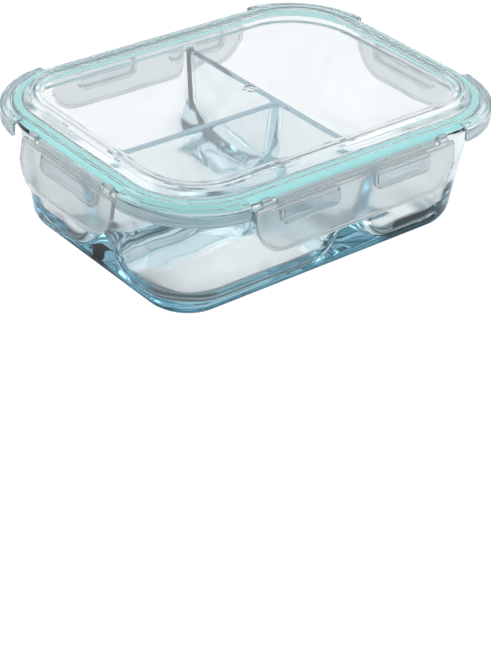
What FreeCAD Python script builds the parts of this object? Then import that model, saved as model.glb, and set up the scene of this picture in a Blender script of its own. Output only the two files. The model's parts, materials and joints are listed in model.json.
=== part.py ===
import FreeCAD, Part
import math
import os

# Three-compartment glass lunch box with a clip-on lid.
# Frame: X along the long side, Y along the short side, Z up.
# Origin: centre of the bounding box's bottom face, on the surface the box stands on.
# Units: millimetres and degrees.

V = FreeCAD.Vector

# ---------------------------------------------------------------- driving sizes
FLANGE_X = 108.0        # half length of the lid flange, straight side to straight side
FLANGE_Y = 80.3         # half width of the lid flange
FLANGE_R = 41.0         # plan corner radius of the flange's outer edge
FLANGE_TOP = 71.4       # height of the flange's top face
FLANGE_H = 5.35         # height of the flange's side face
PANEL_RISE = 3.6        # rise of the lid panel above the flange's top face
PANEL_T = 1.5           # thickness of the lid panel
WALL_T = 1.2            # thickness of the groove's walls and of the skirts
GROOVE_IN = 5.2         # inner wall of the gasket groove, measured in from the flange edge

RIM_GAP = 0.12          # running gap between the gasket's lip and the glass rim
RIM_TOP = FLANGE_TOP - 5.70
RIM_BOT = FLANGE_TOP - 10.30
RIM_OUT = 1.25          # rim bead, measured in from the flange edge
RIM_IN = 5.60           # inner edge of the rim
WALL_OUT = 3.30         # outer wall just under the rim bead
FOOT_X = 96.7           # half length of the wall where the bottom rounding starts
FOOT_Y = 68.9
FOOT_R = 25.2           # plan corner radius there
BOT_R = 11.6            # rounding between wall and bottom
GLASS_T = 4.0           # wall thickness
FLOOR_T = 6.6           # bottom thickness
FLOOR_R = 20.0          # rounding between the dividers and the floor
WALL_R = 12.0           # rounding between the outer walls and the floor
CORNER_TOP = 5.0        # upright corner radius of the compartments, down to CORNER_Z
CORNER_Z = 34.0         # below this height the corners widen into the rounded floor
CORNER_LOW = 21.5       # their radius where the floor rounding starts

DIV_TOP = FLANGE_TOP - 8.2   # top edge of the dividers
DIV_X = 17.6            # centre of the divider that runs across the box
DIV_Y = -2.6            # centre of the divider that runs along the left part
DIV_T = 3.4             # divider thickness at its top edge
DIV_DRAFT = 4.0         # draft of each divider face, degrees

SKIRT_OUT = 5.7         # corner skirts stand this far beyond the flange
SKIRT_BOT = FLANGE_TOP - 9.8
SKIRT_END_X = 68.6      # skirts end here along the long sides
SKIRT_END_Y = 41.6      # and here along the short sides

HINGE_U = 2.2           # hinge axis, measured out from the flange's side face
HINGE_Z = FLANGE_TOP - 6.4
LATCH_TILT = 8.0        # latches hang this far out from vertical when closed but not snapped
LATCH_L = 25.9          # latch length below the axis
LATCH_T = 1.2           # latch plate thickness
LATCH_HALF_LONG = 63.4  # half width of the front and back latches
LATCH_HALF_SHORT = 37.8 # half width of the left and right latches
LATCH_R = 17.0          # lower corner radius of the latches
BEAD_R = 1.0            # hinge bead
SEAT_R = 1.05           # its seat on the lid
PADS_LONG = [(-29.7, 18.0), (29.7, 18.0)]   # centre and half width of each hook pad
PADS_SHORT = [(0.0, 22.6)]
PAD_IN = 3.8            # hook pads reach this far in from the axis
PAD_TOP = 4.4           # top of the pads below the axis
PAD_BOT = 13.4          # bottom of the pads below the axis
WEB_T = 0.4             # thickness of the hinge web

os.makedirs("parts", exist_ok=True)


# ---------------------------------------------------------------- helpers
def rect_wire(x0, x1, y0, y1, radii, z):
    """Rounded rectangle; radii are given for the corners (x1,y1), (x0,y1), (x0,y0), (x1,y0)."""
    ra, rb, rc, rd = radii
    edges = []

    def arc(cx, cy, r, a):
        p = [V(cx + r * math.cos(math.radians(a + t)), cy + r * math.sin(math.radians(a + t)), z) for t in (0, 45, 90)]
        return Part.Arc(p[0], p[1], p[2]).toShape()

    edges.append(arc(x1 - ra, y1 - ra, ra, 0))
    edges.append(Part.LineSegment(V(x1 - ra, y1, z), V(x0 + rb, y1, z)).toShape())
    edges.append(arc(x0 + rb, y1 - rb, rb, 90))
    edges.append(Part.LineSegment(V(x0, y1 - rb, z), V(x0, y0 + rc, z)).toShape())
    edges.append(arc(x0 + rc, y0 + rc, rc, 180))
    edges.append(Part.LineSegment(V(x0 + rc, y0, z), V(x1 - rd, y0, z)).toShape())
    edges.append(arc(x1 - rd, y0 + rd, rd, 270))
    edges.append(Part.LineSegment(V(x1, y0 + rd, z), V(x1, y1 - ra, z)).toShape())
    return Part.Wire(edges)


def ring(inset, z, r_extra=0.0):
    """The flange outline, moved in by inset, at height z."""
    r = max(FLANGE_R - inset + r_extra, 1.0)
    return rect_wire(-FLANGE_X + inset, FLANGE_X - inset, -FLANGE_Y + inset, FLANGE_Y - inset, (r,) * 4, z)


def centred(hx, hy, r, z):
    return rect_wire(-hx, hx, -hy, hy, (r,) * 4, z)


def loft(*wires):
    return Part.makeLoft(list(wires), True, True)


def edges_at(shape, z, tol=0.02):
    return [e for e in shape.Edges if abs(e.BoundBox.ZMin - z) < tol and abs(e.BoundBox.ZMax - z) < tol]


def save(shape, name):
    shape = shape.removeSplitter() if name not in ("glass_base",) else shape
    if not shape.isValid():
        shape.fix(1e-4, 1e-4, 1e-3)
    print(name, "valid", shape.isValid(), "solids", len(shape.Solids), "volume", round(shape.Volume, 1),
          [round(v, 2) for v in (shape.BoundBox.XMin, shape.BoundBox.XMax, shape.BoundBox.YMin,
                                 shape.BoundBox.YMax, shape.BoundBox.ZMin, shape.BoundBox.ZMax)])
    shape.exportStep("parts/%s.step" % name)


# ---------------------------------------------------------------- glass tray
def glass_base():
    top_r = FLANGE_R - WALL_OUT
    foot_z = BOT_R
    # tapered body down to the plane of the bottom, then the large bottom rounding
    k = (FLANGE_X - WALL_OUT - FOOT_X) / (RIM_BOT - foot_z)
    body = loft(centred(FOOT_X - k * foot_z, FOOT_Y - k * foot_z, FOOT_R - 1.5, 0.0),
                centred(FLANGE_X - WALL_OUT, FLANGE_Y - WALL_OUT, top_r, RIM_BOT + 0.01))
    body = body.makeFillet(BOT_R, edges_at(body, 0.0))
    rim = loft(ring(RIM_OUT, RIM_BOT), ring(RIM_OUT, RIM_TOP))
    rim = rim.makeFillet(0.8, edges_at(rim, RIM_TOP) + edges_at(rim, RIM_BOT))
    outer = body.fuse(rim)

    # opening above the dividers
    top_in = RIM_IN
    div_in = RIM_IN + 1.5
    mouth = loft(ring(div_in, DIV_TOP), ring(top_in, RIM_TOP + 0.01))
    outer = outer.cut(mouth)

    # three compartments
    floor = FLOOR_T
    depth = DIV_TOP - floor
    spread = depth * math.tan(math.radians(DIV_DRAFT))
    fx = FOOT_X - GLASS_T - 0.16 * (BOT_R - floor)
    fy = FOOT_Y - GLASS_T - 0.16 * (BOT_R - floor)
    tx = FLANGE_X - div_in
    ty = FLANGE_Y - div_in
    h = DIV_T / 2.0
    big_t, big_f = FLANGE_R - div_in, 24.0
    top = DIV_TOP + 0.02
    start = floor + FLOOR_R     # the floor rounding starts here

    def corner(z, upright):
        """Plan radius of a compartment's corner at height z, before the floor rounding."""
        if upright:
            if z >= CORNER_Z:
                return CORNER_TOP
            k = min((CORNER_Z - z) / (CORNER_Z - start + 6.0), 1.0)
            return CORNER_TOP + (CORNER_LOW - CORNER_TOP) * k * k * (3 - 2 * k)
        return big_f + (big_t - big_f) * (z - floor) / (DIV_TOP - floor)

    def inset(z, r):
        """How far a rounding of radius r has moved its wall in at height z."""
        q = r - (z - floor)
        return 0.0 if q <= 0 else r - math.sqrt(max(r * r - q * q, 0.0))

    def pocket(t, f, sides, upright):
        """t and f: the extents at the top and, without the rounding, at the floor.
        sides: the floor rounding at x0, x1, y0 and y1."""
        heights = [floor] + [floor + FLOOR_R * (1 - math.cos(math.radians(q))) for q in (13, 22, 31, 40, 49, 58, 66)]
        heights += [floor + WALL_R, start - 4.0, start, start + 3.0, CORNER_Z - 1.5, CORNER_Z, top]
        wires = []
        for z in sorted(heights):
            k = (z - floor) / (DIV_TOP - floor)
            e = [f[i] + (t[i] - f[i]) * k for i in range(4)]
            d = [inset(z, r) for r in sides]
            pairs = ((1, 3), (0, 3), (0, 2), (1, 2))      # the sides that meet at each corner
            rad = [max(corner(z, up) - (d[i] + d[j]) / 2, 1.0) for up, (i, j) in zip(upright, pairs)]
            wires.append(rect_wire(e[0] + d[0], e[1] - d[1], e[2] + d[2], e[3] - d[3], rad, z))
        return loft(*wires)

    a = pocket((-tx, DIV_X - h, DIV_Y + h, ty), (-fx, DIV_X - h - spread, DIV_Y + h + spread, fy),
               (WALL_R, FLOOR_R, FLOOR_R, WALL_R), (True, False, True, True))
    b = pocket((-tx, DIV_X - h, -ty, DIV_Y - h), (-fx, DIV_X - h - spread, -fy, DIV_Y - h - spread),
               (WALL_R, FLOOR_R, WALL_R, FLOOR_R), (True, True, False, True))
    c = pocket((DIV_X + h, tx, -ty, ty), (DIV_X + h + spread, fx, -fy, fy),
               (FLOOR_R, WALL_R, WALL_R, WALL_R), (False, True, True, False))
    for p in (a, b, c):
        print("pocket", p.isValid(), round(p.Volume))
        outer = outer.cut(p)
    return outer


# ---------------------------------------------------------------- lid
def lid_cover():
    ft, fh = FLANGE_TOP, FLANGE_H
    flange = loft(ring(0, ft - fh), ring(0, ft))
    flange = flange.makeFillet(0.9, edges_at(flange, ft))
    raised = loft(ring(5.2, ft - 0.5), ring(5.2, ft + 0.3), ring(7.4, ft + 2.4), ring(9.6, ft + PANEL_RISE))
    body = flange.fuse(raised).cut(loft(ring(12.6, ft + PANEL_RISE - 0.4), ring(12.0, ft + PANEL_RISE + 0.1)))
    hollow = loft(ring(GROOVE_IN + WALL_T, ft - fh - 0.1), ring(GROOVE_IN + WALL_T, ft - 0.6),
                  ring(9.2, ft + 0.9), ring(11.4, ft + PANEL_RISE - 0.4 - PANEL_T))
    body = body.cut(hollow)
    groove = loft(ring(WALL_T, ft - fh - 0.1), ring(WALL_T, ft - 1.1)).cut(
        loft(ring(GROOVE_IN, ft - fh - 0.2), ring(GROOVE_IN, ft - 1.0)))
    body = body.cut(groove)
    # gate mark in the middle of the panel
    gate = Part.makeCylinder(3.3, 0.5, V(0, 0, ft + PANEL_RISE - 0.6)).cut(
        Part.makeCylinder(2.5, 0.3, V(0, 0, ft + PANEL_RISE - 0.25)))
    body = body.fuse(gate)

    # corner skirts: a hood that steps out from the flange and hangs down outside the glass rim
    o = SKIRT_OUT
    skin = loft(ring(-o, SKIRT_BOT), ring(-o, ft - 3.6), ring(-o + 0.3, ft - 2.4), ring(-o + 1.2, ft - 1.6),
                ring(-1.6, ft - 0.9))
    core = loft(ring(-o + WALL_T, SKIRT_BOT - 0.1), ring(-o + WALL_T, ft - 3.9), ring(-o + WALL_T + 0.5, ft - 3.0),
                ring(-1.2, ft - 2.3))
    hood = skin.cut(core).cut(loft(ring(0.6, SKIRT_BOT - 1), ring(0.6, ft + 1)))
    keep = []
    for sx in (-1, 1):
        for sy in (-1, 1):
            # a skirt covers the corner, past the end of each latch
            q = Part.makeBox(200, 200, 30, V(0 if sx > 0 else -200, 0 if sy > 0 else -200, SKIRT_BOT - 5))
            gap_x = Part.makeBox(2 * SKIRT_END_X, 400, 40, V(-SKIRT_END_X, -200, SKIRT_BOT - 8))
            gap_y = Part.makeBox(400, 2 * SKIRT_END_Y, 40, V(-200, -SKIRT_END_Y, SKIRT_BOT - 8))
            far_x = Part.makeBox(400, 2 * (FLANGE_Y - 4.0), 40, V(-200, -FLANGE_Y + 4.0, SKIRT_BOT - 8))
            keep.append(hood.common(q).cut(gap_x.cut(far_x)).cut(gap_y))
    body = body.fuse(keep)

    # hinge lips and bead seats for the four latches
    for name, half, turn, offx in LATCHES:
        # local frame: x along the hinge, -y outwards, z up, origin on the hinge axis
        lip = Part.makeBox(2 * half - 24, HINGE_U + 0.4, 0.6, V(-half + 12, 0.2, 1.05))
        pieces = [lip]
        for s in (-1, 1):
            cx = s * (half - 7.0)
            lug = Part.makeBox(6.0, HINGE_U + 0.25, 3.0, V(cx - 3.0, 0.35, -0.6))
            seat = Part.makeCylinder(SEAT_R, 6.4, V(cx - 3.2, 0, 0), V(1, 0, 0))
            pieces.append(lug.cut(seat))
        for p in pieces:
            body = body.fuse(place(p, turn, offx))
    return body


# latch name, half width, turn about Z (front = 0), distance of the flange side from the centre
LATCHES = [("front", LATCH_HALF_LONG, 0.0, FLANGE_Y), ("right", LATCH_HALF_SHORT, 90.0, FLANGE_X),
           ("back", LATCH_HALF_LONG, 180.0, FLANGE_Y), ("left", LATCH_HALF_SHORT, 270.0, FLANGE_X)]


def place(shape, turn, dist):
    """From the hinge's local frame (origin on the axis, -y outwards) to the box."""
    s = shape.copy()
    s.translate(V(0, -(dist + HINGE_U), HINGE_Z))
    s.rotate(V(0, 0, 0), V(0, 0, 1), turn)
    return s


# ---------------------------------------------------------------- gasket
def gasket():
    ft = FLANGE_TOP
    g = loft(ring(WALL_T + 0.05, ft - 5.35), ring(WALL_T + 0.05, ft - 1.15)).cut(
        loft(ring(GROOVE_IN - 0.05, ft - 6), ring(GROOVE_IN - 0.05, ft)))
    lip = loft(ring(2.2, RIM_TOP + RIM_GAP), ring(1.9, ft - 5.3)).cut(
        loft(ring(4.2, RIM_TOP - 0.5), ring(4.2, ft - 5.3)))
    return g.fuse(lip)


# ---------------------------------------------------------------- latches
def plate_wire(half, r, top, bottom, y):
    """Latch outline in the XZ plane at y: square top corners, large lower corners."""
    e = []
    p = [V(-half, y, -top), V(-half, y, -bottom + r)]
    e.append(Part.LineSegment(p[0], p[1]).toShape())
    c = V(-half + r, y, -bottom + r)
    e.append(Part.Arc(p[1], V(c.x - r * math.sqrt(0.5), y, c.z - r * math.sqrt(0.5)), V(c.x, y, -bottom)).toShape())
    e.append(Part.LineSegment(V(-half + r, y, -bottom), V(half - r, y, -bottom)).toShape())
    c = V(half - r, y, -bottom + r)
    e.append(Part.Arc(V(half - r, y, -bottom), V(c.x + r * math.sqrt(0.5), y, c.z - r * math.sqrt(0.5)),
                      V(half, y, -bottom + r)).toShape())
    e.append(Part.LineSegment(V(half, y, -bottom + r), V(half, y, -top)).toShape())
    e.append(Part.LineSegment(V(half, y, -top), V(-half, y, -top)).toShape())
    return Part.Wire(e)


def slab(wire, depth):
    return Part.Face(wire).extrude(V(0, depth, 0))


def latch(half, pads):
    t = LATCH_T / 2.0
    body = slab(plate_wire(half, LATCH_R, 1.35, LATCH_L, -t), LATCH_T)
    # raised bead round the two sides and the bottom, on the outer face
    bead = slab(plate_wire(half, LATCH_R, 3.4, LATCH_L, -t - 0.5), 0.6).cut(
        slab(plate_wire(half - 1.8, LATCH_R - 1.8, -1.0, LATCH_L - 1.8, -t - 0.6), 0.8))
    body = body.fuse(bead)
    # notch in the top corners, so that only the bead reaches the hinge there
    # hook pads on the inner face, hollow from outside
    for cx, hw in pads:
        out = slab(plate_wire(hw, 4.0, PAD_TOP, PAD_BOT, t - 0.1), PAD_IN - t + 0.1)
        out.translate(V(cx, 0, 0))
        hol = slab(plate_wire(hw - 1.2, 2.8, PAD_TOP + 1.2, PAD_BOT - 1.2, -t - 1.0), PAD_IN + t + 1.0 - 1.1)
        hol.translate(V(cx, 0, 0))
        body = body.fuse(out).cut(hol)
    # hinge beads at both ends, round about the axis
    for s in (-1, 1):
        cx = s * (half - 7.0)
        bead = Part.makeCylinder(BEAD_R, 5.6, V(cx - 2.8, 0, 0), V(1, 0, 0))
        neck = Part.makeBox(5.6, 1.0, 1.5, V(cx - 2.8, -0.5, -1.5))
        body = body.fuse(bead).fuse(neck)
    # closed rest position: leaning out from vertical
    body.rotate(V(0, 0, 0), V(1, 0, 0), -LATCH_TILT)
    return body


def web(half):
    w = Part.makeBox(2 * half - 24.4, WEB_T, 2.38, V(-half + 12.2, 0.02, -1.33))
    return w


if __name__ == "__main__":
    save(glass_base(), "glass_base")
    save(lid_cover(), "lid_cover")
    save(gasket(), "gasket")
    for name, half, turn, dist in LATCHES:
        pads = PADS_LONG if half > 50 else PADS_SHORT
        save(place(latch(half, pads), turn, dist), "latch_" + name)
        save(place(web(half), turn, dist), "hinge_web_" + name)
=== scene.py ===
import json
import math

import bpy
import numpy as np
from mathutils import Matrix, Vector

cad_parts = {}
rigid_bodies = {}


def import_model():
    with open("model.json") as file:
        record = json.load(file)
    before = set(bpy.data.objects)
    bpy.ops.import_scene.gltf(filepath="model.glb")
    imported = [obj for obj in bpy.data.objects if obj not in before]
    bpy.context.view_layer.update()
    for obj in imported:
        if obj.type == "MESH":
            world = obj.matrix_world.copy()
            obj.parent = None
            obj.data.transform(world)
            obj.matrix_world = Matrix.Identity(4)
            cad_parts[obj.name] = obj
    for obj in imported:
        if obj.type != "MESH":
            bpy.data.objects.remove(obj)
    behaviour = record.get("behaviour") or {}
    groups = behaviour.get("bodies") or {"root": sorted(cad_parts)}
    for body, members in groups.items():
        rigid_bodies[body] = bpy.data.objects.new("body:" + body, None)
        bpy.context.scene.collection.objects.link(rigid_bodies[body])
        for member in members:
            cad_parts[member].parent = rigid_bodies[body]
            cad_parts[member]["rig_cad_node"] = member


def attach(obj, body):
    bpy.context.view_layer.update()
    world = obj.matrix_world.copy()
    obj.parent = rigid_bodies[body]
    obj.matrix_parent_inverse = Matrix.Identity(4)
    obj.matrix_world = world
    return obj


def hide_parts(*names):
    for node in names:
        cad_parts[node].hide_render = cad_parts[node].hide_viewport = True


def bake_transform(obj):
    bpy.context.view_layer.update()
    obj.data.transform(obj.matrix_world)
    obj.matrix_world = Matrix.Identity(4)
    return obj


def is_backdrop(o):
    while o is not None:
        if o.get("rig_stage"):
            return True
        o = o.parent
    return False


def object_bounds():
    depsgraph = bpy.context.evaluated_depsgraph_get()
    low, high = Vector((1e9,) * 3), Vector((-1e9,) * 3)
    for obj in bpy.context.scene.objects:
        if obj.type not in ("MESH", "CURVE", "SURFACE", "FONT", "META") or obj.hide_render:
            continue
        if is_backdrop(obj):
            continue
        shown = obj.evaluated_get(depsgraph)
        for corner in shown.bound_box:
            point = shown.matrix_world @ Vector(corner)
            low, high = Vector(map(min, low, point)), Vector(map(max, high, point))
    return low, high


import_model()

cad_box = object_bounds()

# ---------------------------------------------------------------- sizes, in mm, as in the design
FX, FY, FR, FT = 108.0, 80.3, 41.0, 71.4
RIM_TOP, RIM_BOT = FT - 5.70, FT - 10.30
DIV_TOP = FT - 8.2
HINGE_U, HINGE_Z = 2.2, FT - 6.4
MM = 0.001


# ---------------------------------------------------------------- implicit shapes
def rrect(x, y, x0, x1, y0, y1, ra, rb, rc, rd):
    """Distance to a rounded rectangle; radii of the corners (x1,y1), (x0,y1), (x0,y0), (x1,y0)."""
    px, py = x - (x0 + x1) / 2, y - (y0 + y1) / 2
    r = np.where(px > 0, np.where(py > 0, ra, rd), np.where(py > 0, rb, rc))
    qx = np.abs(px) - (x1 - x0) / 2 + r
    qy = np.abs(py) - (y1 - y0) / 2 + r
    return np.minimum(np.maximum(qx, qy), 0) + np.hypot(np.maximum(qx, 0), np.maximum(qy, 0)) - r


def outline(x, y, inset):
    r = np.maximum(FR - inset, 1.0)
    return rrect(x, y, -FX + inset, FX - inset, -FY + inset, FY - inset, r, r, r, r)


def cut_round(a, b, r):
    """Intersection with a rounded edge."""
    return np.minimum(-r, np.maximum(a, b)) + np.hypot(np.maximum(r + a, 0), np.maximum(r + b, 0))


def join_round(a, b, r):
    """Union with a fillet."""
    return np.maximum(r, np.minimum(a, b)) - np.hypot(np.maximum(r - a, 0), np.maximum(r - b, 0))


def nets(f, lo, hi, h):
    """Closed mesh of f = 0 on a grid of step h, moved onto the true surface, with its true normals."""
    n = [int(math.ceil((hi[i] - lo[i]) / h)) + 1 for i in range(3)]
    ax = [lo[i] + h * np.arange(n[i]) for i in range(3)]
    F = np.empty(n, np.float32)
    for k in range(0, n[2], 12):
        z = ax[2][k:k + 12]
        F[:, :, k:k + 12] = f(ax[0][:, None, None], ax[1][None, :, None], z[None, None, :])
    S = F < 0
    mixed = np.zeros([m - 1 for m in n], bool)
    first = S[:-1, :-1, :-1]
    for i in (0, 1):
        for j in (0, 1):
            for k in (0, 1):
                mixed |= S[i:n[0] - 1 + i, j:n[1] - 1 + j, k:n[2] - 1 + k] != first
    I = np.argwhere(mixed)
    index = np.full(mixed.shape, -1, np.int64)
    index[mixed] = np.arange(len(I))
    total = np.zeros((len(I), 3))
    count = np.zeros(len(I))
    corners = [(i, j, k) for i in (0, 1) for j in (0, 1) for k in (0, 1)]
    for a in corners:
        for d in range(3):
            if a[d]:
                continue
            b = list(a); b[d] = 1
            fa = F[I[:, 0] + a[0], I[:, 1] + a[1], I[:, 2] + a[2]].astype(float)
            fb = F[I[:, 0] + b[0], I[:, 1] + b[1], I[:, 2] + b[2]].astype(float)
            cross = (fa < 0) != (fb < 0)
            t = np.where(cross, fa / np.where(cross, fa - fb, 1), 0)
            p = np.tile(np.array(a, float), (len(I), 1))
            p[:, d] += t
            total += p * cross[:, None]
            count += cross
    P = np.array(lo) + h * (I + total / count[:, None])

    def grad(Q, e):
        g = np.empty_like(Q)
        for d in range(3):
            s = np.zeros(3); s[d] = e
            A, B = Q + s, Q - s
            g[:, d] = (f(A[:, 0], A[:, 1], A[:, 2]) - f(B[:, 0], B[:, 1], B[:, 2])) / (2 * e)
        return g

    for _ in range(4):
        v = f(P[:, 0], P[:, 1], P[:, 2])
        g = grad(P, 0.02)
        step = (v / np.maximum((g * g).sum(1), 0.25))[:, None] * g
        size = np.linalg.norm(step, axis=1)[:, None]
        P = P - step * np.minimum(1, 0.35 * h / np.maximum(size, 1e-9))
    N = grad(P, 0.06)
    N /= np.maximum(np.linalg.norm(N, axis=1), 1e-9)[:, None]
    quads = []
    for d in range(3):
        u, w = (d + 1) % 3, (d + 2) % 3
        sl0 = [slice(None)] * 3; sl0[d] = slice(0, n[d] - 1)
        sl1 = [slice(None)] * 3; sl1[d] = slice(1, n[d])
        A, B = S[tuple(sl0)], S[tuple(sl1)]
        E = np.argwhere(A != B)
        E = E[(E[:, u] > 0) & (E[:, u] < n[u] - 1) & (E[:, w] > 0) & (E[:, w] < n[w] - 1)]
        inside = A[E[:, 0], E[:, 1], E[:, 2]]
        cells = []
        for du, dw in ((-1, -1), (0, -1), (0, 0), (-1, 0)):
            c = E.copy(); c[:, u] += du; c[:, w] += dw
            cells.append(index[c[:, 0], c[:, 1], c[:, 2]])
        q = np.stack(cells, 1)
        quads.append(np.where(inside[:, None], q, q[:, ::-1]))
    return P, np.concatenate(quads), N


# ---------------------------------------------------------------- meshes
def make(name, P, faces, N=None):
    me = bpy.data.meshes.new(name)
    me.from_pydata((np.asarray(P) * MM).tolist(), [], [list(map(int, q)) for q in faces])
    me.validate()
    me.update()
    me.polygons.foreach_set("use_smooth", np.ones(len(me.polygons), bool))
    if N is not None and len(N) == len(me.vertices):
        me.normals_split_custom_set_from_vertices(np.asarray(N).tolist())
    ob = bpy.data.objects.new(name, me)
    bpy.context.scene.collection.objects.link(ob)
    return ob


ARC, SX, SY = 26, 30, 22


def path(inset):
    """Points round the flange outline moved in by inset; the count never changes."""
    r = max(FR - inset, 0.6)
    hx, hy = FX - inset, FY - inset
    pts = []
    for cx, cy, a0, n, ex, ey in ((hx - r, hy - r, 0, SX, -(hx - r), hy), (-(hx - r), hy - r, 90, SY, -hx, -(hy - r)),
                                  (-(hx - r), -(hy - r), 180, SX, hx - r, -hy), (hx - r, -(hy - r), 270, SY, hx, hy - r)):
        for i in range(ARC + 1):
            a = math.radians(a0 + 90 * i / ARC)
            pts.append((cx + r * math.cos(a), cy + r * math.sin(a)))
        sx, sy = pts[-1]
        for i in range(1, n):
            pts.append((sx + (ex - sx) * i / n, sy + (ey - sy) * i / n))
    return np.array(pts)


def rounded(points, default=0.3, steps=4):
    """A profile of (inset, z, radius) with its corners rounded."""
    out = []
    m = len(points)
    for i in range(m):
        p = np.array(points[i][:2], float)
        r = points[i][2] if len(points[i]) > 2 else default
        a, b = np.array(points[i - 1][:2], float), np.array(points[(i + 1) % m][:2], float)
        da, db = np.linalg.norm(a - p), np.linalg.norm(b - p)
        ua, ub = (a - p) / max(da, 1e-9), (b - p) / max(db, 1e-9)
        c = float(np.clip(ua @ ub, -1, 1))
        half = math.acos(c) / 2
        if r <= 0 or half > math.pi / 2 - 0.02:
            out.append(tuple(p))
            continue
        t = min(r / math.tan(half), 0.46 * da, 0.46 * db)
        for k in range(steps + 1):
            s = k / steps
            out.append(tuple((1 - s) ** 2 * (p + ua * t) + 2 * s * (1 - s) * p + s * s * (p + ub * t)))
    return out


def swept(name, profile, closed=True):
    rings = [np.column_stack([path(i), np.full(len(path(i)), z)]) for i, z in profile]
    m, k = len(rings), len(rings[0])
    P = np.concatenate(rings)
    faces = []
    for i in range(m if closed else m - 1):
        j = (i + 1) % m
        for a in range(k):
            b = (a + 1) % k
            faces.append((i * k + a, i * k + b, j * k + b, j * k + a))
    return P, faces, m, k


# ---------------------------------------------------------------- glass tray
def ripple(x, y, z, a, s):
    """The slow unevenness of pressed glass."""
    return a * (np.sin(x * 0.21 * s + 1.3 * np.sin(y * 0.093 * s) + z * 0.11 * s)
                + np.sin(y * 0.24 * s + 1.7 * np.sin(z * 0.12 * s + x * 0.05 * s) + 2.1)
                + 0.6 * np.sin(z * 0.31 * s + x * 0.13 * s - y * 0.17 * s))


FOOT_X, FOOT_Y, FOOT_R, BOT_R, FLOOR = 96.7, 68.9, 25.2, 11.6, 6.6
TAPER = (FX - 3.3 - FOOT_X) / (RIM_BOT - BOT_R)
DX, DY, DT = 17.6, -2.6, 1.7
SPREAD = (DIV_TOP - FLOOR) * math.tan(math.radians(4.0))
GX, GY = FOOT_X - 4.0 - 0.8, FOOT_Y - 4.0 - 0.8
TX, TY, TR = FX - 7.1, FY - 7.1, FR - 7.1


def glass(x, y, z):
    x, y, z = np.broadcast_arrays(x, y, z)
    t = z / (RIM_BOT + 0.01)
    hx = (FOOT_X - TAPER * BOT_R) * (1 - t) + (FX - 3.3) * t
    hy = (FOOT_Y - TAPER * BOT_R) * (1 - t) + (FY - 3.3) * t
    r = (FOOT_R - 1.5) * (1 - t) + (FR - 3.3) * t
    wall = rrect(x, y, -hx, hx, -hy, hy, r, r, r, r)
    body = cut_round(wall, -z, BOT_R)
    body = np.maximum(body, z - RIM_TOP + 0.4)
    rim = cut_round(outline(x, y, 1.25), np.abs(z - (RIM_TOP + RIM_BOT) / 2) - (RIM_TOP - RIM_BOT) / 2, 1.3)
    outer = join_round(body, rim, 0.9)
    t = (z - FLOOR) / (DIV_TOP - FLOOR)
    u = 1 - t
    # upright corners are narrow, and widen into the rounded floor
    k = np.clip((34.0 - z) / 13.4, 0, 1)
    rc = 5.0 + 16.5 * k * k * (3 - 2 * k)
    rb = 24.0 * u + TR * t
    ax0, ax1 = -(GX * u + TX * t), DX - DT - SPREAD * u
    cx0, cx1 = DX + DT + SPREAD * u, GX * u + TX * t
    ys = GY * u + TY * t
    floor = FLOOR - z
    a = rrect(x, y, ax0, ax1, DY + DT + SPREAD * u, ys, rc, rb, rc, rc)
    b = rrect(x, y, ax0, ax1, -ys, DY - DT - SPREAD * u, rc, rc, rb, rc)
    c = rrect(x, y, cx0, cx1, -ys, ys, rb, rc, rc, rb)
    # the floor rounds up widely to the dividers and more tightly to the outer walls
    out = rrect(x, y, -cx1, cx1, -ys, ys, rb, rb, rb, rb)

    def bowl(p, near):
        k = np.clip((near - out) / 26.0 + 0.5, 0, 1)
        return cut_round(p, floor, 12.0 + 8.0 * k * k * (3 - 2 * k))

    left, right = x - ax1, cx0 - x
    pockets = np.minimum(np.minimum(bowl(a, np.maximum(left, DY + DT + SPREAD * u - y)),
                                    bowl(b, np.maximum(left, y - (DY - DT - SPREAD * u)))), bowl(c, right))
    pockets = pockets + ripple(x, y, z, 0.035, 1.0)
    mouth = cut_round(outline(x, y, 7.1 - 0.6 * (z - DIV_TOP)), DIV_TOP - z, 2.2)
    cavity = join_round(pockets, mouth, 1.5)
    return cut_round(outer, -cavity, 1.0)


GH = 1.0
glass_ob = make("glass_tray", *nets(glass, (-109.3, -81.6, -1.7), (109.3, 81.6, 67.5), GH))
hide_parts("glass_base")
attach(glass_ob, "base")


# ---------------------------------------------------------------- lid: panel, ridges, flange and groove
T = FT
top = [(1.2, T, 0.6), (4.9, T, 0.5), (5.7, T + 0.7, 0.4), (7.9, T + 3.0, 0.9), (9.0, T + 3.6, 0.6), (10.4, T + 3.6, 0.6),
       (11.15, T + 3.15, 0.5), (11.9, T + 3.55, 0.6), (13.3, T + 3.55, 0.6), (14.2, T + 3.2, 0.6), (15.2, T + 3.35, 0.4),
       (16.0, T + 3.15, 0.0)]
under = [(14.5, T + 1.7, 0.3), (11.6, T + 1.7, 0.8), (9.2, T + 0.9, 0.8), (6.45, T - 0.6, 0.5), (6.4, T - 5.3, 0.25),
         (5.2, T - 5.3, 0.25), (5.2, T - 1.1, 0.3), (1.2, T - 1.1, 0.3), (1.2, T - 5.3, 0.25), (0.0, T - 5.3, 0.3),
         (0.0, T - 0.7, 1.2)]
shape = rounded([(16.0, T + 1.7, 0.0)] + under + top)
# rounded() treats the list as a loop; the panel itself closes it, so the loop starts and ends at inset 16
P, faces, m, k = swept("lid", shape, closed=False)


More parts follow.
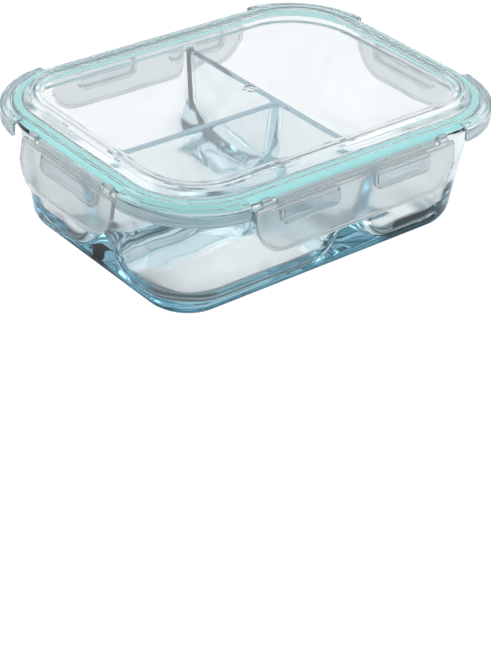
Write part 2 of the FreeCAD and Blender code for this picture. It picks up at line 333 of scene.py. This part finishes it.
def disc(z, sign, base, gate):
    """The panel's middle, from the ring at inset 16 in to the gate mark."""
    first = path(16.0)
    ang = np.unwrap(np.arctan2(first[:, 1], first[:, 0]))
    circle = np.column_stack([np.cos(ang), np.sin(ang)])
    rows = []
    for s in (0.18, 0.38, 0.58, 0.76, 0.9):
        rows.append(np.column_stack([first * (1 - s) + circle * 5.0 * s, np.full(len(first), z)]))
    for rad, dz in gate:
        rows.append(np.column_stack([circle * rad, np.full(len(first), z + dz)]))
    n0 = base
    pts, fs = [], []
    prev = None
    for row in rows:
        pts.append(row)
    return pts


ends = []
points = [P]
count = len(P)
K = k
for ring_at, z, gate, flip in ((0, T + 1.7, [(4.0, 0), (1.0, 0)], True),
                               (m - 1, T + 3.15, [(4.3, 0), (3.9, 0.08), (3.5, 0.3), (3.0, 0.34), (2.6, 0.1), (2.3, 0.0),
                                                  (1.0, 0.0)], False)):
    prev = ring_at * K
    for row in disc(z, 1, count, gate):
        points.append(row)
        for a in range(K):
            b = (a + 1) % K
            q = (prev + a, prev + b, count + b, count + a)
            faces.append(q[::-1] if flip else q)
        prev = count
        count += K
    centre = np.array([[0.0, 0.0, z]])
    points.append(centre)
    for a in range(K):
        b = (a + 1) % K
        q = (prev + a, prev + b, count)
        faces.append(q[::-1] if flip else q)
    count += 1
lid_ob = make("lid_panel_and_flange", np.concatenate(points), faces)


def fix_normals(ob):
    import bmesh
    bm = bmesh.new()
    bm.from_mesh(ob.data)
    bmesh.ops.recalc_face_normals(bm, faces=bm.faces)
    bm.to_mesh(ob.data)
    bm.free()
    w = ob.modifiers.new("weighted", "WEIGHTED_NORMAL")
    w.keep_sharp = False
    w.weight = 60


fix_normals(lid_ob)
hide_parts("lid_cover")
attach(lid_ob, "lid")


# ---------------------------------------------------------------- corner skirts
def skirt(x, y, z):
    """One hood, in the corner x > 0, y > 0: it steps out from the flange and hangs outside the glass rim."""
    x, y, z = np.broadcast_arrays(x, y, z)
    d = outline(x, y, 0.0)
    dz = z - T
    # centre line of the wall: out over the flange's shoulder, round, and down
    px, py = d, dz
    fall = np.hypot(px - 5.1, np.maximum(py + 3.0, 0) + np.minimum(py + 9.2, 0)) - 0.6
    k1 = np.clip(((px - 0.8) * 3.2 + (py + 1.5) * -0.55) / (3.2 ** 2 + 0.55 ** 2), 0, 1)
    roof = np.hypot(px - (0.8 + 3.2 * k1), py - (-1.5 - 0.55 * k1)) - 0.6
    k2 = np.clip(((px - 4.0) * 1.1 + (py + 2.05) * -0.95) / (1.1 ** 2 + 0.95 ** 2), 0, 1)
    bend = np.hypot(px - (4.0 + 1.1 * k2), py - (-2.05 - 0.95 * k2)) - 0.6
    s = join_round(join_round(fall, bend, 0.8), roof, 0.8)
    # a thicker lip along the bottom
    lip = np.hypot(px - 5.1, py + 9.0) - 0.72
    s = join_round(s, lip, 0.5)
    # raised soft bar at each end of the hood
    ex, ey = x - 73.5, y - 46.6
    along_x = np.hypot(np.hypot(np.maximum(-ex, 0), np.maximum(ex - 6.5, 0)), np.hypot(px - 3.1, py + 1.35)) - 0.75
    along_y = np.hypot(np.hypot(np.maximum(-ey, 0), np.maximum(ey - 6.5, 0)), np.hypot(px - 3.1, py + 1.35)) - 0.75
    bar = np.minimum(np.where(y > FY - 8, along_x, 9.0), np.where(x > FX - 8, along_y, 9.0))
    s = join_round(s, bar, 0.7)
    # the ends, with rounded corners
    side_x = np.where(y > FY - 4.0, 68.6 - x, -30.0)
    side_y = np.where(x > FX - 4.0, 41.6 - y, -30.0)
    end = np.maximum(side_x, side_y)
    low = -(dz + 9.85)
    trim = cut_round(end, low, 3.0)
    return cut_round(s, trim, 0.5)


def mirrored(P, F, N, sx, sy):
    P, N = P * [sx, sy, 1], N * [sx, sy, 1]
    return P, (F[:, ::-1] if sx * sy < 0 else F), N


sk = nets(skirt, (64.0, 37.0, 60.2), (115.2, 87.6, 72.6), 0.5)
for sx, sy, nm in ((1, 1, "back_right"), (-1, 1, "back_left"), (-1, -1, "front_left"), (1, -1, "front_right")):
    ob = make("corner_skirt_" + nm, *mirrored(*sk, sx, sy))
    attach(ob, "lid")

# ---------------------------------------------------------------- sealing ring
G = rounded([(1.3, T - 5.3, 0.3), (1.3, T - 1.25, 0.45), (5.1, T - 1.25, 0.45), (5.1, T - 5.3, 0.3), (4.3, T - 5.35, 0.2),
             (4.1, RIM_TOP + 0.15, 0.15), (2.2, RIM_TOP + 0.15, 0.15), (2.0, T - 5.35, 0.2)])
P, faces, m, k = swept("gasket", G)
seal_ob = make("sealing_ring", P, faces)
fix_normals(seal_ob)
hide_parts("gasket")
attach(seal_ob, "lid")


# ---------------------------------------------------------------- latches
def latch_field(half, pads):
    tilt = math.radians(8.0)
    c, s = math.cos(tilt), math.sin(tilt)

    def f(x, y, z):
        x, y, z = np.broadcast_arrays(x, y, z)
        # undo the rest position's lean: local y outwards is negative
        yy, zz = y * c - z * s, y * s + z * c
        v = -zz
        plan = rrect(x, v, -half, half, 1.35, 25.9, 17.0, 17.0, 1.2, 1.2)
        plate = cut_round(plan, np.abs(yy) - 0.6, 0.35)
        # raised bead along both sides and the lower edge
        bead = np.hypot(plan + 1.05, yy + 0.5) - 0.95
        bead = np.maximum(bead, 2.6 - v)
        body = join_round(plate, bead, 0.35)
        # a shallow step across the plate below the hinge
        step = np.hypot(np.maximum(np.abs(x) - (half - 9), 0), np.hypot(v - 3.3, yy + 0.45)) - 0.5
        body = join_round(body, step, 0.4)
        for cx, hw in pads:
            out = rrect(x - cx, v, -hw, hw, 4.4, 13.4, 4.0, 4.0, 0.8, 0.8)
            outer = cut_round(out, np.abs(yy - 2.1) - 1.7, 0.6)
            hole = cut_round(out + 1.2, np.abs(yy + 0.6) - 3.3, 0.5)
            body = join_round(body, outer, 0.4)
            body = cut_round(body, -hole, 0.3)
        for sgn in (-1, 1):
            bx = x - sgn * (half - 7.0)
            pin = cut_round(np.abs(bx) - 2.8, np.hypot(yy, zz) - 1.0, 0.25)
            neck = cut_round(np.abs(bx) - 2.8, np.maximum(np.abs(yy) - 0.5, np.abs(v - 0.85) - 0.85), 0.2)
            body = np.minimum(body, join_round(pin, neck, 0.3))
        return body
    return f


def place(P, N, turn, dist):
    a = math.radians(turn)
    R = np.array([[math.cos(a), -math.sin(a), 0], [math.sin(a), math.cos(a), 0], [0, 0, 1]])
    P = P + [0, -(dist + HINGE_U), HINGE_Z]
    return P @ R.T, (None if N is None else N @ R.T)


LH = 0.5
shapes = {}
for half, pads in ((63.4, [(-29.7, 18.0), (29.7, 18.0)]), (37.8, [(0.0, 22.6)])):
    shapes[half] = nets(latch_field(half, pads), (-half - 1.2, -6.2, -28.0), (half + 1.2, 5.4, 2.2), LH)
LATCHES = [("front", 63.4, 0, FY), ("right", 37.8, 90, FX), ("back", 63.4, 180, FY), ("left", 37.8, 270, FX)]
pad_faces = {}
for nm, half, turn, dist in LATCHES:
    P0, F0, N0 = shapes[half]
    P, N = place(P0, N0, turn, dist)
    ob = make("clip_" + nm, P, F0, N)
    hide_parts("latch_" + nm)
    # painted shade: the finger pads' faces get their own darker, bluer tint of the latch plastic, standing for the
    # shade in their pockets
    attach(ob, "latch_" + nm)
    # the raised finger pads are thicker, so they have a finish of their own
    mid = P0[F0].mean(1)
    down_ = -(mid[:, 1] * math.sin(math.radians(8.0)) + mid[:, 2] * math.cos(math.radians(8.0)))
    on_pad = np.zeros(len(F0), bool)
    for cx, hw in ([(-29.7, 18.0), (29.7, 18.0)] if half > 50 else [(0.0, 22.6)]):
        on_pad |= (np.abs(mid[:, 0] - cx) < hw - 0.4) & (down_ > 4.8) & (down_ < 13.0)
    if len(on_pad) == len(ob.data.polygons):
        ob["pads"] = True
        pad_faces[ob.name] = on_pad

    # hinge lip on the lid, with its two bead seats
    def lip(x, y, z, half=half):
        x, y, z = np.broadcast_arrays(x, y, z)
        bar = cut_round(np.abs(x) - (half - 12), np.maximum(np.abs(y - 1.2) - 1.0, np.abs(z - 1.35) - 0.3), 0.15)
        for sgn in (-1, 1):
            bx = x - sgn * (half - 7.0)
            lug = cut_round(np.abs(bx) - 3.0, np.maximum(np.abs(y - 1.4) - 1.05, np.abs(z - 0.9) - 1.5), 0.2)
            lug = np.maximum(lug, 1.05 - np.hypot(y, z))
            bar = np.minimum(bar, lug)
        return bar
    Pl, Fl, Nl = nets(lip, (-half, -1, -1.4), (half, 3.2, 3.2), 0.35)
    Pl, Nl = place(Pl, Nl, turn, dist)
    ob = make("hinge_lip_" + nm, Pl, Fl, Nl)
    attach(ob, "lid")

    # the thin web that bends, thinnest on the axis
    n = 48
    prof = []
    for z in np.linspace(-1.33, 1.05, 13):
        w = 0.2 - 0.09 * math.exp(-(z / 0.35) ** 2)
        prof.append((0.22 + w, z))
    for z in np.linspace(1.05, -1.33, 13):
        w = 0.2 - 0.09 * math.exp(-(z / 0.35) ** 2)
        prof.append((0.22 - w, z))
    xs = np.linspace(-half + 12.2, half - 12.2, n)
    Pw = np.array([(xx, y, z) for xx in xs for y, z in prof])
    q = len(prof)
    fw = [(i * q + a, i * q + (a + 1) % q, (i + 1) * q + (a + 1) % q, (i + 1) * q + a)
          for i in range(n - 1) for a in range(q)]
    fw += [tuple(range(q))[::-1], tuple(range((n - 1) * q, n * q))]
    Pw, _ = place(Pw, None, turn, dist)
    ob = make("web_" + nm, Pw, fw)
    fix_normals(ob)
    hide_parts("hinge_web_" + nm)
    a = math.radians(turn)
    cx, cy = (dist + HINGE_U) * math.sin(a), -(dist + HINGE_U) * math.cos(a)
    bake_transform(ob)


# ---------------------------------------------------------------- materials
def material(name, color, rough, transmission, ior, bump=0.0, scale=40.0, rough_var=0.0, tint_var=0.0, absorb=None,
             extra=None):
    m = bpy.data.materials.new(name)
    m.use_nodes = True
    nt = m.node_tree
    b = nt.nodes["Principled BSDF"]
    b.inputs["IOR"].default_value = ior
    b.inputs["Transmission Weight"].default_value = transmission
    co = nt.nodes.new("ShaderNodeTexCoord")
    no = nt.nodes.new("ShaderNodeTexNoise")
    no.inputs["Scale"].default_value = scale
    no.inputs["Detail"].default_value = 4.0
    nt.links.new(co.outputs["Object"], no.inputs["Vector"])
    ramp = nt.nodes.new("ShaderNodeValToRGB")
    c0 = [max(0.0, c * (1 - tint_var)) for c in color]
    ramp.color_ramp.elements[0].color = (*c0, 1)
    ramp.color_ramp.elements[1].color = (*color, 1)
    ramp.color_ramp.elements[0].position = 0.3
    ramp.color_ramp.elements[1].position = 0.65
    nt.links.new(no.outputs["Fac"], ramp.inputs["Fac"])
    nt.links.new(ramp.outputs["Color"], b.inputs["Base Color"])
    mr = nt.nodes.new("ShaderNodeMapRange")
    mr.inputs["To Min"].default_value = max(rough - rough_var, 0)
    mr.inputs["To Max"].default_value = rough + rough_var
    nt.links.new(no.outputs["Fac"], mr.inputs["Value"])
    nt.links.new(mr.outputs["Result"], b.inputs["Roughness"])
    if bump:
        bp = nt.nodes.new("ShaderNodeBump")
        bp.inputs["Strength"].default_value = bump
        bp.inputs["Distance"].default_value = 0.0002
        fine = nt.nodes.new("ShaderNodeTexNoise")
        fine.inputs["Scale"].default_value = scale * 6
        nt.links.new(co.outputs["Object"], fine.inputs["Vector"])
        nt.links.new(fine.outputs["Fac"], bp.inputs["Height"])
        nt.links.new(bp.outputs["Normal"], b.inputs["Normal"])
    if absorb:
        va = nt.nodes.new("ShaderNodeVolumeAbsorption")
        va.inputs["Color"].default_value = (*absorb[0], 1)
        va.inputs["Density"].default_value = absorb[1]
        nt.links.new(va.outputs["Volume"], nt.nodes["Material Output"].inputs["Volume"])
    for key, val in (extra or {}).items():
        b.inputs[key].default_value = val
    return m


glass_m = material("pressed_glass", (1.0, 1.0, 1.0), 0.006, 1.0, 1.475, bump=0.02, scale=30, rough_var=0.004,
                   tint_var=0.01, absorb=((0.0, 0.48, 0.62), 10.5))
lid_m = material("clear_lid_plastic", (0.98, 0.988, 0.988), 0.04, 0.96, 1.46, bump=0.02, scale=60, rough_var=0.02,
                 tint_var=0.02)
edge_m = material("lid_edge_plastic", (0.90, 0.965, 0.97), 0.12, 0.93, 1.44, bump=0.02, scale=60, rough_var=0.03,
                  tint_var=0.02)
skirt_m = material("milky_lid_plastic", (0.68, 0.80, 0.825), 0.26, 0.82, 1.44, bump=0.02, scale=70, rough_var=0.03,
                   tint_var=0.03)
roof_m = material("clear_hood_plastic", (0.74, 0.865, 0.88), 0.13, 0.92, 1.44, bump=0.02, scale=60, rough_var=0.02,
                  tint_var=0.02)
# painted shade: the divider tops' glass is tinted dark grey-blue, standing for the dark surroundings their rounded tops
# refract
divider_top_shade_m = material("glass_divider_top_painted_shade", (0.40, 0.49, 0.56), 0.01, 1.0, 1.475, bump=0.02, scale=30, rough_var=0.006,
                   tint_var=0.03, absorb=((0.0, 0.48, 0.62), 10.5))
latch_m = material("frosted_latch_plastic", (0.905, 0.94, 0.945), 0.18, 0.84, 1.42, bump=0.02, scale=80, rough_var=0.03,
                   tint_var=0.03)
# painted shade: a darker, bluer tint of the latch plastic for the pads' faces
pad_shade_m = material("latch_pad_shaded_plastic", (0.815, 0.875, 0.905), 0.2, 0.84, 1.42, bump=0.02, scale=80, rough_var=0.03,
                 tint_var=0.03)
hinge_m = material("hinge_plastic", (0.84, 0.915, 0.925), 0.28, 0.6, 1.42, bump=0.02, scale=80, rough_var=0.03,
                   tint_var=0.03)
# painted glow: the ring emits its own aqua light, standing for light that comes through the silicone and the milky lid
seal_m = material("silicone_ring", (0.28, 0.64, 0.62), 0.42, 0.0, 1.41, bump=0.1, scale=90, rough_var=0.06,
                  tint_var=0.04, extra={"Subsurface Weight": 0.2, "Subsurface Scale": 0.004,
                                        "Emission Color": (0.42, 0.80, 0.81, 1), "Emission Strength": 0.48})
# painted glow by height: emission 0.72 on the ring's sides below the lid's top, falling to 0.31 on its top face
sn = seal_m.node_tree
sc_ = sn.nodes.new("ShaderNodeTexCoord")
sz = sn.nodes.new("ShaderNodeSeparateXYZ")
seal_glow_by_height = sn.nodes.new("ShaderNodeMapRange")
for key, val in (("From Min", (T - 1.75) * MM), ("From Max", (T - 1.27) * MM), ("To Min", 0.72), ("To Max", 0.31)):
    seal_glow_by_height.inputs[key].default_value = val
sn.links.new(sc_.outputs["Object"], sz.inputs[0])
sn.links.new(sz.outputs["Z"], seal_glow_by_height.inputs["Value"])
sn.links.new(seal_glow_by_height.outputs["Result"], sn.nodes["Principled BSDF"].inputs["Emission Strength"])
for o in bpy.context.scene.objects:
    if o.type != "MESH" or "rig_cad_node" in o:
        continue
    pick = (glass_m if o.name.startswith("glass") else seal_m if o.name.startswith("sealing") else
            latch_m if o.name.startswith("clip") else hinge_m if o.name.startswith(("web", "hinge_lip")) else
            skirt_m if o.name.startswith("corner") else lid_m)
    o.data.materials.clear()
    o.data.materials.append(pick)
    if o is glass_ob or o.name.startswith("corner"):
        n = len(o.data.polygons)
        c = np.empty(n * 3)
        o.data.polygons.foreach_get("center", c)
        c = c.reshape(-1, 3) / MM
        if o is glass_ob:
            o.data.materials.append(divider_top_shade_m)
            # faces on the divider tops get the glass with the painted shade
            where = (c[:, 2] > DIV_TOP - 1.5) & (outline(c[:, 0], c[:, 1], 0.0) < -8.3)
        else:
            o.data.materials.append(roof_m)
            where = c[:, 2] > T - 4.6
        o.data.polygons.foreach_set("material_index", where.astype(np.int32))
    if o.name in pad_faces:
        o.data.materials.append(pad_shade_m)
        o.data.polygons.foreach_set("material_index", pad_faces[o.name].astype(np.int32))
    if o is lid_ob:
        o.data.materials.append(edge_m)
        n = len(o.data.polygons)
        c = np.empty(n * 3)
        o.data.polygons.foreach_get("center", c)
        c = c.reshape(-1, 3) / MM
        o.data.polygons.foreach_set("material_index", (outline(c[:, 0], c[:, 1], 0.0) > -7.0).astype(np.int32))

# ---------------------------------------------------------------- floor, light and camera
bpy.ops.mesh.primitive_grid_add(x_subdivisions=8, y_subdivisions=8, size=3.2, location=(0.1, 0.25, -0.0006))
floor = bpy.context.object
floor.name = "floor"
fm = bpy.data.materials.new("pale_floor")
fm.use_nodes = True
fb = fm.node_tree.nodes["Principled BSDF"]
fb.inputs["Base Color"].default_value = (0.12, 0.12, 0.12, 1)
fb.inputs["Roughness"].default_value = 0.7
fb.inputs["Specular IOR Level"].default_value = 0.1
fb.inputs["Emission Color"].default_value = (1, 1, 1, 1)
fb.inputs["Emission Strength"].default_value = 0.74
fc = fm.node_tree.nodes.new("ShaderNodeTexCoord")
ln = fm.node_tree.nodes.new("ShaderNodeVectorMath")
ln.operation = "LENGTH"
# painted shade: for rays other than camera rays the floor's glow fades from 0.87 to 0.24 between 0.40 m and 0.60 m from
# its centre
fr = fm.node_tree.nodes.new("ShaderNodeMapRange")
fr.interpolation_type = "SMOOTHSTEP"
for key, val in (("From Min", 0.40), ("From Max", 0.60), ("To Min", 0.87), ("To Max", 0.24)):
    fr.inputs[key].default_value = val
fm.node_tree.links.new(fc.outputs["Object"], ln.inputs[0])
fm.node_tree.links.new(ln.outputs["Value"], fr.inputs["Value"])
# seen directly, the floor is plain and pale out to its edge
fl = fm.node_tree.nodes.new("ShaderNodeLightPath")
mx = fm.node_tree.nodes.new("ShaderNodeMix")
mx.inputs["B"].default_value = 0.98
fm.node_tree.links.new(fl.outputs["Is Camera Ray"], mx.inputs["Factor"])


def calc(op, *args, clamp=False):
    """A math node on the floor's material; a number or a socket for each input."""
    nd = fm.node_tree.nodes.new("ShaderNodeMath")
    nd.operation = op
    nd.use_clamp = clamp
    for i, a in enumerate(args):
        if isinstance(a, (int, float)):
            nd.inputs[i].default_value = a
        else:
            fm.node_tree.links.new(a, nd.inputs[i])
    return nd.outputs[0]


# the shade under the tray's foot, on the sides away from the key light, as the glass shows it
gp = fm.node_tree.nodes.new("ShaderNodeNewGeometry")
gs = fm.node_tree.nodes.new("ShaderNodeSeparateXYZ")
fm.node_tree.links.new(gp.outputs["Position"], gs.inputs[0])
gx, gy = gs.outputs["X"], gs.outputs["Y"]
qx = calc("SUBTRACT", calc("ABSOLUTE", gx), (FOOT_X - FOOT_R) * MM)
qy = calc("SUBTRACT", calc("ABSOLUTE", gy), (FOOT_Y - FOOT_R) * MM)
far = calc("SQRT", calc("ADD", calc("POWER", calc("MAXIMUM", qx, 0.0), 2.0), calc("POWER", calc("MAXIMUM", qy, 0.0), 2.0)))
dist = calc("SUBTRACT", calc("ADD", far, calc("MINIMUM", calc("MAXIMUM", qx, qy), 0.0)), FOOT_R * MM)
shade = fm.node_tree.nodes.new("ShaderNodeValToRGB")
shade.color_ramp.interpolation = "EASE"
fm.node_tree.links.new(calc("MULTIPLY_ADD", dist, 1 / 0.060, 0.75), shade.inputs["Fac"])
e = shade.color_ramp.elements
e[0].position, e[0].color = 0.20, (1, 1, 1, 1)
e[1].position, e[1].color = 1.0, (0.85, 0.87, 0.88, 1)
for mm_, v in ((-22.0, 0.84), (-13.0, 0.08), (-9.0, 0.42), (-5.0, 0.05), (2.0, 0.45)):
    el = e.new((mm_ + 45.0) / 60.0)
    el.color = (v, v, v, 1)
side = fm.node_tree.nodes.new("ShaderNodeMapRange")
side.interpolation_type = "SMOOTHSTEP"
for key, val in (("From Min", -0.03), ("From Max", 0.02), ("To Min", 0.0), ("To Max", 1.0)):
    side.inputs[key].default_value = val
fm.node_tree.links.new(calc("ADD", calc("MULTIPLY", gx, -0.45), calc("MULTIPLY", gy, -0.9)), side.inputs["Value"])
lit = calc("ADD", 1.0, calc("MULTIPLY", calc("SUBTRACT", shade.outputs["Color"], 1.0), side.outputs["Result"]))
# painted shade tint: where the painted shade falls, the floor's glow turns blue
cool = fm.node_tree.nodes.new("ShaderNodeMix")
cool.data_type = "RGBA"
cool.inputs["A"].default_value = (0.55, 0.92, 1.0, 1)
cool.inputs["B"].default_value = (1, 1, 1, 1)
bare = fm.node_tree.nodes.new("ShaderNodeLightPath")
fm.node_tree.links.new(calc("MAXIMUM", bare.outputs["Is Camera Ray"], calc("MULTIPLY", lit, 1.25, clamp=True)),
                       cool.inputs["Factor"])
fm.node_tree.links.new(cool.outputs["Result"], fb.inputs["Emission Color"])
# painted shade: the floor's glow dims towards -x, down to 0.62 beyond x = -0.11 m
west = fm.node_tree.nodes.new("ShaderNodeMapRange")
west.interpolation_type = "SMOOTHSTEP"
for key, val in (("From Min", -0.11), ("From Max", -0.04), ("To Min", 0.62), ("To Max", 1.0)):
    west.inputs[key].default_value = val
fm.node_tree.links.new(gx, west.inputs["Value"])
fm.node_tree.links.new(calc("MULTIPLY", calc("MULTIPLY", fr.outputs["Result"], lit), west.outputs["Result"]), mx.inputs["A"])
fm.node_tree.links.new(mx.outputs["Result"], fb.inputs["Emission Strength"])
floor.data.materials.append(fm)
floor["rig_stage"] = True

world = bpy.data.worlds.new("studio")
bpy.context.scene.world = world
world.use_nodes = True
nt = world.node_tree
bg = nt.nodes["Background"]
tc = nt.nodes.new("ShaderNodeTexCoord")
sep = nt.nodes.new("ShaderNodeSeparateXYZ")
rp = nt.nodes.new("ShaderNodeValToRGB")
nt.links.new(tc.outputs["Generated"], sep.inputs[0])
nt.links.new(sep.outputs["Z"], rp.inputs["Fac"])
e = rp.color_ramp.elements
e[0].position, e[0].color = 0.0, (0.0, 0.0, 0.0, 1)
e[1].position, e[1].color = 1.0, (1.05, 1.09, 1.12, 1)
for pos, col in ((0.15, (0.01, 0.01, 0.01)), (0.30, (0.70, 0.74, 0.76)), (0.5, (0.98, 1.01, 1.03))):
    el = e.new(pos)
    el.color = (*col, 1)
# the low part of the studio is dark, in places deep blue
wave = nt.nodes.new("ShaderNodeTexNoise")
wave.inputs["Scale"].default_value = 1.6
wave.inputs["Detail"].default_value = 1.0
nt.links.new(tc.outputs["Generated"], wave.inputs["Vector"])
low = nt.nodes.new("ShaderNodeValToRGB")
low.color_ramp.elements[0].position, low.color_ramp.elements[0].color = 0.46, (0.015, 0.02, 0.025, 1)
low.color_ramp.elements[1].position, low.color_ramp.elements[1].color = 0.56, (0.01, 0.13, 0.26, 1)
nt.links.new(wave.outputs["Fac"], low.inputs["Fac"])
addc = nt.nodes.new("ShaderNodeMix")
addc.data_type = "RGBA"
addc.blend_type = "ADD"
down = nt.nodes.new("ShaderNodeMapRange")
for key, val in (("From Min", 0.16), ("From Max", 0.34), ("To Min", 1.0), ("To Max", 0.0)):
    down.inputs[key].default_value = val
nt.links.new(sep.outputs["Z"], down.inputs["Value"])
nt.links.new(down.outputs["Result"], addc.inputs["Factor"])
nt.links.new(rp.outputs["Color"], addc.inputs["A"])
nt.links.new(low.outputs["Color"], addc.inputs["B"])
nt.links.new(addc.outputs["Result"], bg.inputs["Color"])
bg.inputs["Strength"].default_value = 1.0
# the background itself, where the camera sees past the floor, is pale
plain_bg = nt.nodes.new("ShaderNodeBackground")
plain_bg.inputs["Color"].default_value = (0.93, 0.94, 0.95, 1)
lp = nt.nodes.new("ShaderNodeLightPath")
mixw = nt.nodes.new("ShaderNodeMixShader")
nt.links.new(lp.outputs["Is Camera Ray"], mixw.inputs["Fac"])
nt.links.new(bg.outputs["Background"], mixw.inputs[1])
nt.links.new(plain_bg.outputs["Background"], mixw.inputs[2])
nt.links.new(mixw.outputs["Shader"], nt.nodes["World Output"].inputs["Surface"])


def area(name, loc, target, size, power):
    d = bpy.data.lights.new(name, "AREA")
    d.shape = "RECTANGLE"
    d.size, d.size_y = size
    d.energy = power
    o = bpy.data.objects.new(name, d)
    o.location = loc
    o.rotation_euler = (Vector(target) - Vector(loc)).to_track_quat("-Z", "Y").to_euler()
    bpy.context.scene.collection.objects.link(o)


area("key", (-0.9, 0.7, 1.1), (0, 0, 0.03), (0.9, 0.7), 9)
area("fill", (1.1, -0.3, 0.9), (0, 0, 0.03), (0.8, 0.8), 5)

az, el_, roll = math.radians(-41.26), math.radians(33.31), math.radians(3.63)
b = Vector((math.sin(az) * math.cos(el_), -math.cos(az) * math.cos(el_), math.sin(el_)))
r0 = Vector((0, 0, 1)).cross(b).normalized()
u0 = b.cross(r0)
r = r0 * math.cos(roll) + u0 * math.sin(roll)
u = u0 * math.cos(roll) - r0 * math.sin(roll)
cam = bpy.data.cameras.new("camera")
cam.lens = 1938.0 / 657.0 * 36.0
cam.sensor_width = 36.0
cam.clip_start = 0.01
co = bpy.data.objects.new("camera", cam)
bpy.context.scene.collection.objects.link(co)
co.matrix_world = Matrix(((r.x, u.x, b.x, -0.574196), (r.y, u.y, b.y, -0.662569), (r.z, u.z, b.z, 0.506969), (0, 0, 0, 1)))
bpy.context.scene.camera = co

sc = bpy.context.scene
sc.view_settings.view_transform = "Standard"
sc.cycles.max_bounces = 28
sc.cycles.transmission_bounces = 26
sc.cycles.glossy_bounces = 12
sc.cycles.diffuse_bounces = 3
sc.cycles.transparent_max_bounces = 16
sc.cycles.caustics_refractive = True
sc.cycles.caustics_reflective = True

bpy.context.view_layer.update()


def plain(v):
    return [plain(x) for x in v] if hasattr(v, "__len__") else float(v)


{"cad": plain(cad_box), "visual": plain(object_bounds())}
